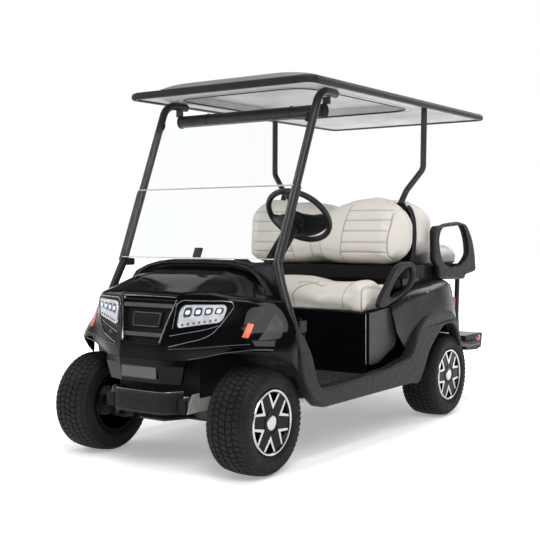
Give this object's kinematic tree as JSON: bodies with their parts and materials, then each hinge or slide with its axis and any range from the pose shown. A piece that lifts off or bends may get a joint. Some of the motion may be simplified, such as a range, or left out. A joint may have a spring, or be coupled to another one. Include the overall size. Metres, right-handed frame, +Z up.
{
  "type": "four-seat golf cart",
  "caption": "Four-seat electric golf cart with a long canopy, fold-down windshield, steered front wheels, a front bench and a rear-facing bench over a footrest.",
  "frame": {"origin": "on the floor, under the middle of the cart's length and width", "axes": "+Z up, front towards -Y, driver's side +X"},
  "size_m": [1.2, 2.67, 1.748],
  "materials": {
    "gloss_body": "deep gloss black",
    "matte_trim": "fine textured matte",
    "tube_coat": "satin powder coat",
    "frame_metal": "extruded, satin",
    "axle_steel": "semi gloss chassis paint",
    "seat_vinyl": "off-white vinyl, stitched",
    "tyre_rubber": "matte rubber",
    "rim_finish": "gloss black with machined edges",
    "clear_glass": "clear, faint green",
    "lamp_clear": "clear lens over silver reflector",
    "lamp_amber": "amber lens",
    "lamp_red": "red lens",
    "roof_lining": "pale satin",
    "battery_case": "moulded case",
    "grip": "soft grip"
  },
  "bodies": {
    "chassis": {"arm_rests": "matte_trim", "backrest_posts": "tube_coat", "backrest_shells": "matte_trim", "battery_pack": "battery_case", "dashboard": "matte_trim", "drive_motor": "axle_steel", "floor_pan": "matte_trim", "footrest_pan": "matte_trim", "footrest_tubes": "tube_coat", "frame_crossmembers": "frame_metal", "frame_rails": "frame_metal", "front_apron": "gloss_body", "front_axle": "axle_steel", "front_backrest": "seat_vinyl", "front_bumper": "matte_trim", "front_cowl": "gloss_body", "front_struts": "tube_coat", "grille_panel": "matte_trim", "headlamps": "lamp_clear", "hip_restraints": "matte_trim", "marker_lamps": "lamp_amber", "overhead_bar": "tube_coat", "pedals": "matte_trim", "rear_axle": "axle_steel", "rear_backrest": "seat_vinyl", "rear_deck": "matte_trim", "rear_quarters": "gloss_body", "rear_springs": "axle_steel", "rear_struts": "tube_coat", "rear_wall": "gloss_body", "roof_liner": "roof_lining", "roof_shell": "matte_trim", "seat_base": "gloss_body", "seat_support": "matte_trim", "sill_left": "matte_trim", "sill_right": "matte_trim", "steering_column": "matte_trim", "tail_lamps": "lamp_red", "wheel_liners": "matte_trim", "windshield_lower": "clear_glass", "windshield_upper": "clear_glass"},
    "front_seat": {"front_cushion": "seat_vinyl"},
    "rear_seat": {"rear_cushion": "seat_vinyl"},
    "knuckle_l": {"knuckle_left": "axle_steel"},
    "knuckle_r": {"knuckle_right": "axle_steel"},
    "steering": {"steering_wheel": "grip"},
    "rod": {"tie_rod": "axle_steel"},
    "wheel_front_left": {"tyre_front_left": "tyre_rubber", "rim_front_left": "rim_finish"},
    "wheel_front_right": {"tyre_front_right": "tyre_rubber", "rim_front_right": "rim_finish"},
    "wheel_rear_left": {"tyre_rear_left": "tyre_rubber", "rim_rear_left": "rim_finish"},
    "wheel_rear_right": {"tyre_rear_right": "tyre_rubber", "rim_rear_right": "rim_finish"}
  },
  "joints": [
    {"name": "steer_left", "type": "hinge", "parent": "chassis", "child": "knuckle_l", "pos_m": [0.345, -1.095, 0.228], "axis": [0, 0, 1], "range_deg": [-28, 28]},
    {"name": "steer_right", "type": "hinge", "parent": "chassis", "child": "knuckle_r", "pos_m": [-0.345, -1.095, 0.228], "axis": [0, 0, 1], "range_deg": [-29, 29]},
    {"name": "steering_wheel_turn", "type": "hinge", "parent": "chassis", "child": "steering", "pos_m": [0.25, -0.47, 1.093], "axis": [0, 0.7193, 0.6947], "range_deg": [-370, 370]},
    {"name": "tie_rod_shift", "type": "slide", "parent": "chassis", "child": "rod", "axis": [-1, 0, 0], "range_m": [-0.056, 0.056]},
    {"name": "front_seat_tilt", "type": "hinge", "parent": "chassis", "child": "front_seat", "pos_m": [0, 0.055, 0.6203], "axis": [-1, 0, 0], "range_deg": [0, 42]},
    {"name": "rear_seat_flip", "type": "hinge", "parent": "chassis", "child": "rear_seat", "pos_m": [0, 0.953, 0.8283], "axis": [-1, 0, 0], "range_deg": [0, 180]},
    {"name": "spin_front_left", "type": "hinge", "parent": "knuckle_l", "child": "wheel_front_left", "pos_m": [0.442, -1.095, 0.228], "axis": [1, 0, 0], "continuous": true},
    {"name": "spin_front_right", "type": "hinge", "parent": "knuckle_r", "child": "wheel_front_right", "pos_m": [-0.442, -1.095, 0.228], "axis": [1, 0, 0], "continuous": true},
    {"name": "spin_rear_left", "type": "hinge", "parent": "chassis", "child": "wheel_rear_left", "pos_m": [0.46, 0.574, 0.228], "axis": [1, 0, 0], "continuous": true},
    {"name": "spin_rear_right", "type": "hinge", "parent": "chassis", "child": "wheel_rear_right", "pos_m": [-0.46, 0.574, 0.228], "axis": [1, 0, 0], "continuous": true}
  ],
  "couplings": [
    {"joint": "steer_right", "follows": "steer_left", "ratio": 1},
    {"joint": "steering_wheel_turn", "follows": "steer_left", "ratio": 13},
    {"joint": "tie_rod_shift", "follows": "steer_left", "m_per_rad": 0.11}
  ]
}
